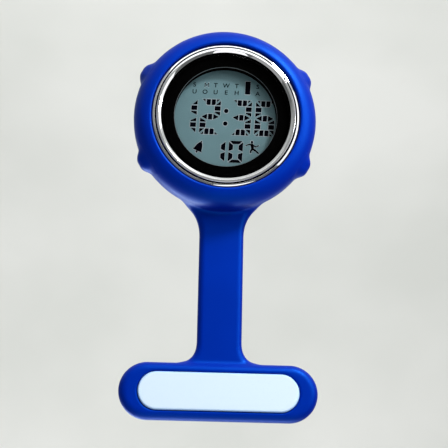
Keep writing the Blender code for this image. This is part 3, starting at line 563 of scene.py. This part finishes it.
def make_mask():
    """The black ring round the display's window, with a fine chamfer at the window's edge. The chamfer is a
    lighter grey: a painted highlight where the key light would catch it.
    """
    rim = [(13.35, 9.1), (13.35, 8.85), (13.95, 8.85), (13.95, 7.1)]
    window = [(11.15, 7.1), (11.15, 8.98), (11.27, 9.1)]

    # the chamfer's faces take the lighter grey of the painted highlight
    def chamfer(r, h):
        return r < 11.26 and h > 9.0

    section = rounded(rim + window, [0.02] * len(rim + window), 2)
    piece = turned("black_mask", section, BLACK, MASK_EDGE_PAINTED_HIGHLIGHT, chamfer)
    piece.data.set_sharp_from_angle(angle=math.radians(20))
    on_body(piece, "watch_head", "black_plastic", "mask_ring")


# What the display shows --------------------------------------------------------------------------
#
# Drawn with the dial upright: x to the right and y up from the watch's middle, in millimetres.

SLANT = math.tan(math.radians(3.0))
LIFT = 0.1  # how far the marks' middle is above the watch's


def mirrored(polygons, across=None, down=None):
    """Polygons mirrored about x = across, or about y = down."""
    made = []
    for polygon in polygons:
        if across is not None:
            polygon = [(2 * across - x, y) for x, y in reversed(polygon)]
        if down is not None:
            polygon = [(x, 2 * down - y) for x, y in reversed(polygon)]
        made.append(polygon)
    return made


def time_segments():
    """The seven segments of a large digit, split into triangles and blocks, from its middle's left end."""
    wide = 4.32
    corner = [(0.24, 4.0), (0.92, 3.34), (0.92, 4.0)]
    block = [(1.14, 2.9), (1.36, 2.67), (2.05, 2.67), (2.05, 4.0), (1.14, 4.0)]
    a = [corner, block] + mirrored([corner, block], across=wide / 2)
    f = [
        [(0.0, 2.68), (1.1, 2.68), (0.0, 3.72)],
        [(0.0, 1.42), (1.3, 1.42), (1.3, 2.44), (0.0, 2.44)],
        [(0.0, 0.3), (1.28, 0.98), (1.28, 1.18), (0.0, 1.18)],
    ]
    arrow = [(0.22, 0.0), (1.48, -0.66), (1.48, 0.66)]
    g = [arrow, [(1.7, -0.66), (2.62, -0.66), (2.62, 0.66), (1.7, 0.66)]] + mirrored([arrow], across=wide / 2)
    b = mirrored(f, across=wide / 2)
    return {
        "a": a, "b": b, "c": mirrored(b, down=0), "d": mirrored(a, down=0),
        "e": mirrored(f, down=0), "f": f, "g": g,
    }


def date_segments():
    """The seven segments of a small digit, whole, with bevelled ends."""
    wide, tall, thick, flat = 3.12, 2.47, 0.96, 0.72
    a = [[(0.14, tall), (0.14 + flat, tall - flat), (wide - 0.14 - flat, tall - flat), (wide - 0.14, tall)]]
    f = [[(0, 0.12), (thick, 0.5), (thick, tall - flat - 0.3), (0, tall - 0.22)]]
    g = [[(0.3, 0), (0.9, -0.34), (wide - 0.9, -0.34), (wide - 0.3, 0), (wide - 0.9, 0.34), (0.9, 0.34)]]
    b = mirrored(f, across=wide / 2)
    return {
        "a": a, "b": b, "c": mirrored(b, down=0), "d": mirrored(a, down=0),
        "e": mirrored(f, down=0), "f": f, "g": g,
    }


def placed(polygons, at, lean=SLANT, turn=0.0, size=1.0):
    """Polygons moved to a place, sized, turned, and leant over by a share of their height."""
    c, s = math.cos(turn) * size, math.sin(turn) * size
    return [[(at[0] + c * x - s * y + lean * y, at[1] + s * x + c * y) for x, y in p] for p in polygons]


def blob(centre, radius, sides=24):
    """A round dot."""
    turns = np.linspace(0, 2 * math.pi, sides, endpoint=False)
    return [(centre[0] + radius * math.cos(t), centre[1] + radius * math.sin(t)) for t in turns]


def limb(start, end, radius):
    """A round-ended stroke between two points."""
    way = math.atan2(end[1] - start[1], end[0] - start[0])
    made = []
    for centre, first in ((start, math.pi / 2), (end, -math.pi / 2)):
        for k in range(9):
            t = way + first + math.pi * k / 8
            made.append((centre[0] + radius * math.cos(t), centre[1] + radius * math.sin(t)))
    return made


def display_ink():
    """Every dark mark on the display."""
    ink = []
    middle = 0.33
    big = time_segments()
    for left, lit in ((-10.6, "bc"), (-5.48, "abged"), (1.38, "abgcd"), (6.56, "afgedc")):
        for segment in lit:
            ink += placed(big[segment], (left, middle))
    ink += placed([blob((0, 1.43), 0.5), blob((0, -1.45), 0.5)], (0.12, middle))
    small = date_segments()
    for left, lit in ((-3.02, "bc"), (0.84, "abcdef")):
        for segment in lit:
            ink += placed(small[segment], (left, -7.44))
    day_bar = [(4.24, 5.72), (5.4, 5.72), (5.5, 8.68), (4.34, 8.68)]
    ink.append(day_bar)
    bell = [(-0.95, -0.75), (-0.72, -0.45), (-0.55, 0.35), (-0.3, 0.85), (0, 1.0), (0.3, 0.85), (0.55, 0.35)]
    bell += [(0.72, -0.45), (0.95, -0.75)]
    clapper, crown = blob((0, -0.98), 0.2, 12), blob((0, 1.1), 0.16, 12)
    ink += placed([bell, clapper, crown], (-5.62, -6.62), lean=0, turn=-0.42, size=1.2)
    runner_head = blob((5.98, -5.12), 0.3)
    ink.append(runner_head)
    m = [(-4.62, 7.14), (-4.56, 8.0), (-4.2, 7.4), (-3.8, 8.0), (-3.78, 7.14)]
    ink += [limb(a, b, 0.07) for a, b in zip(m, m[1:])]
    runner = (
        ((4.66, -5.92), (5.3, -5.66), 0.125),
        ((5.3, -5.66), (6.05, -5.78), 0.1625),
        ((6.0, -5.72), (6.85, -6.18), 0.15),
        ((6.85, -6.18), (7.42, -5.86), 0.125),
        ((6.02, -5.8), (6.12, -6.6), 0.325),
        ((6.1, -6.65), (6.75, -7.0), 0.225),
        ((6.75, -7.0), (7.4, -7.62), 0.175),
        ((6.05, -6.7), (5.75, -7.1), 0.2125),
        ((5.75, -7.1), (5.72, -7.52), 0.15),
    )
    return ink + [limb(*stroke) for stroke in runner]


def widened(polygon, reach):
    """A polygon with its corners moved out from its middle."""
    p = np.array(polygon)
    middle = p.mean(0)
    away = p - middle
    return (middle + away * (1 + reach / np.maximum(np.linalg.norm(away, axis=1), 0.2))[:, None]).tolist()


def print_marks(name, polygons, low, high, material):
    """Thin closed prisms lying on the display."""
    points, faces = [], []
    for polygon in polygons:
        polygon = [(-x, HEAD_Y - y - LIFT) for x, y in polygon]
        area = sum(a[0] * b[1] - b[0] * a[1] for a, b in zip(polygon, polygon[1:] + polygon[:1]))
        if area < 0:
            polygon = polygon[::-1]
        base, count = len(points), len(polygon)
        points += [(x, y, low) for x, y in polygon] + [(x, y, high) for x, y in polygon]
        faces.append(tuple(base + i for i in reversed(range(count))))
        faces.append(tuple(base + count + i for i in range(count)))
        for i in range(count):
            after = (i + 1) % count
            faces.append((base + i, base + after, base + count + after, base + count + i))
    piece = mesh_piece(name, world(points), faces, material, smooth=False)
    on_body(piece, "watch_head", "lcd")


def make_weekdays():
    """Seven stacked pairs of letters. The M is in the ink, and the sixth pair is under the day's bar."""
    rows, pitch, first = (7.1, 5.52), 2.322, -6.9
    depsgraph = bpy.context.evaluated_depsgraph_get
    points, faces = [], []
    for column, pair in enumerate(("SU", " O", "TU", "WE", "TH", "", "SA")):
        for letter, row in zip(pair, rows):
            text = bpy.data.curves.new("letter", "FONT")
            text.body = letter
            text.size = 1.36
            text.align_x = "CENTER"
            text.extrude = 0.006
            text.offset = 0.02
            shown = bpy.data.objects.new("letter", text)
            bpy.context.scene.collection.objects.link(shown)
            data = bpy.data.meshes.new_from_object(shown.evaluated_get(depsgraph()))
            base = len(points)
            for v in data.vertices:
                x = v.co.x * 1.05 + v.co.y * SLANT + pitch * column + first
                points.append((-x, HEAD_Y - (v.co.y + row) - LIFT, LCD_FRONT + 0.02 + v.co.z))
            faces += [tuple(base + i for i in f.vertices) for f in data.polygons]
            bpy.data.objects.remove(shown)
            bpy.data.meshes.remove(data)
            bpy.data.curves.remove(text)
    piece = mesh_piece("lcd_weekdays", world(points), faces, INK, smooth=False)
    on_body(piece, "watch_head", "lcd")


make_holder()
for hour in HOURS:
    make_bump(hour)
    make_spring(hour)
make_name_plate()
make_bezel()
make_glass()
make_mask()
marks = display_ink()
print_marks("lcd_marks", marks, LCD_FRONT + 0.012, LCD_FRONT + 0.024, INK)
print_marks("lcd_gaps", [widened(p, 0.13) for p in marks], LCD_FRONT + 0.002, LCD_FRONT + 0.01, LCD_LIGHT)
make_weekdays()

# Finishes of the CAD pieces, by the start of their names -------------------------------------------

finishes = {
    "name_plate": PLATE,
    "brooch_plate": STEEL,
    "brooch_pin": STEEL,
    "pin_rivet": STEEL,
    "safety_catch": STEEL,
    "bezel": CHROME,
    "crystal": GLASS,
    "crystal_gasket": BLACK,
    "mask_ring": BLACK,
    "module_frame": BLACK,
    "chip_blob": BLACK,
    "case_body": CASE,
    "case_back": CASE_BACK,
    "case_back_screw": BRIGHT_STEEL,
    "back_gasket": RUBBER,
    "lcd": LCD,
    "zebra": ZEBRA,
    "circuit_board": BOARD,
    "piezo_disc": BRASS,
    "battery_contact": BRASS,
    "button_pad": SILICONE,
    "brooch_rivet": STEEL,
}
for node, shown in frame["nodes"].items():
    longest = max((start for start in finishes if node.startswith(start)), key=len, default="")
    finish = finishes.get(longest, BRIGHT_STEEL)
    shown.data.materials.clear()
    shown.data.materials.append(finish)

# Camera, lights and floor ------------------------------------------------------------------------


def camera():
    """Just off the display's axis. The picture is turned half round, so that the dial reads upright.

    The angles, the offset (mm) and the scale (pixels to the millimetre) were fitted to the photograph.
    """
    rx, ry, rz = (math.radians(a) for a in (-12.088, 3.169, -1.882))
    distance, offset, scale = 300.0, (0.203, 22.812), 4.548
    picture_width = 448
    turn = Matrix.Rotation(rz, 3, "Z") @ Matrix.Rotation(ry, 3, "Y") @ Matrix.Rotation(rx, 3, "X")
    back = turn.transposed()

    def upright(v):
        """From dial-upright axes about the watch's middle to the frame's."""
        return Vector((-v.x, -v.z, -v.y))

    place = upright(back @ Vector((-offset[0], -offset[1], distance))) + Vector((0, -6.1, HEAD_Y))
    axes = [upright(back @ Vector(v)) for v in ((1, 0, 0), (0, 1, 0), (0, 0, 1))]
    data = bpy.data.cameras.new("camera")
    data.sensor_width = 36.0
    data.lens = scale * distance / picture_width * data.sensor_width
    data.clip_start, data.clip_end = 0.01, 10.0
    made = bpy.data.objects.new("camera", data)
    made.matrix_world = Matrix.Translation(place * MM) @ Matrix([list(a) for a in axes]).transposed().to_4x4()
    bpy.context.scene.collection.objects.link(made)
    bpy.context.scene.camera = made


def lamp(name, place, aim, size, power, mirrored=True):
    """A round soft lamp. One that isn't mirrored gives no highlights."""
    data = bpy.data.lights.new(name, "AREA")
    data.shape = "DISK"
    data.size = size
    data.energy = power
    made = bpy.data.objects.new(name, data)
    made.location = place
    made.rotation_mode = "QUATERNION"
    made.rotation_quaternion = (Vector(aim) - Vector(place)).to_track_quat("-Z", "Y")
    made.visible_camera = False
    made.visible_glossy = mirrored
    bpy.context.scene.collection.objects.link(made)


def studio():
    """A pale floor that curves up behind, soft lamps, and a dark flag where the glass would mirror a lamp."""
    middle = (0, -0.004, -0.045)
    lamp("key", (-0.16, -0.186, -0.27), middle, 0.07, 1.25)
    lamp("side key", (-0.30, -0.20, -0.13), middle, 0.08, 0.35)
    lamp("ceiling", (0, -0.1, 1.5), middle, 1.6, 8.0)
    lamp("front floor", (0, -1.2, 1.2), (0, -1.2, -0.3), 1.0, 3.4)
    lamp("far floor", (-0.6, -2.6, 1.4), (-0.6, -2.6, -0.3), 1.6, 10.0)
    lamp("fill", (0.30, -0.30, 0.20), middle, 0.35, 0.08)
    lamp("side box", (-0.33, -0.31, -0.15), middle, 0.46, 0.68)
    lamp("low box", (-0.02, -0.17, -0.275), middle, 0.32, 0.33)
    lamp("front card", (0.06, -0.52, -0.12), middle, 0.26, 0.11, mirrored=False)
    lamp("back", (0.15, 0.35, 0.20), middle, 0.3, 1.0)
    lamp("backdrop", (0, 0.3, 0.5), (0, 0.75, -0.25), 0.5, 3.2)
    scene = bpy.context.scene
    scene.world = bpy.data.worlds.new("pale_room")
    scene.world.use_nodes = True
    background = scene.world.node_tree.nodes["Background"]
    background.inputs["Color"].default_value = linear(214, 216, 214)
    background.inputs["Strength"].default_value = 0.25
    scene.view_settings.view_transform = "Standard"
    n = Nodes("pale_floor")
    n.set(Base_Color=n.ramp(n.noise(6.0), (0.35, linear(208, 210, 206)), (0.65, linear(220, 221, 218))))
    n.set(Roughness=0.7)
    low, back, curve, side = -0.30, 0.9, 0.5, 4.0
    section = [(-side, low), (back - curve, low)]
    turns = np.linspace(0.1, 1.57, 12)
    section += [(back - curve + curve * math.sin(t), low + curve - curve * math.cos(t)) for t in turns]
    section.append((back, 1.2))
    points = [(x, y, z) for y, z in section for x in (-side, side)]
    faces = [(2 * i, 2 * i + 1, 2 * i + 3, 2 * i + 2) for i in range(len(section) - 1)]
    floor = mesh_piece("floor", points, faces, n.material)
    dark = plain("black_flag", linear(3, 3, 3), 0.9, Specular_IOR_Level=0.0)
    spot, radius = Vector((-0.0276, -0.5, -0.2061)), 0.0385
    turns = np.linspace(0, 2 * math.pi, 64, endpoint=False)
    edge = [spot + Vector((radius * math.cos(t), 0, radius * math.sin(t))) for t in turns]
    flag = mesh_piece("flag", edge, [range(64)], dark, smooth=False)
    flag.visible_camera = False


camera()
studio()
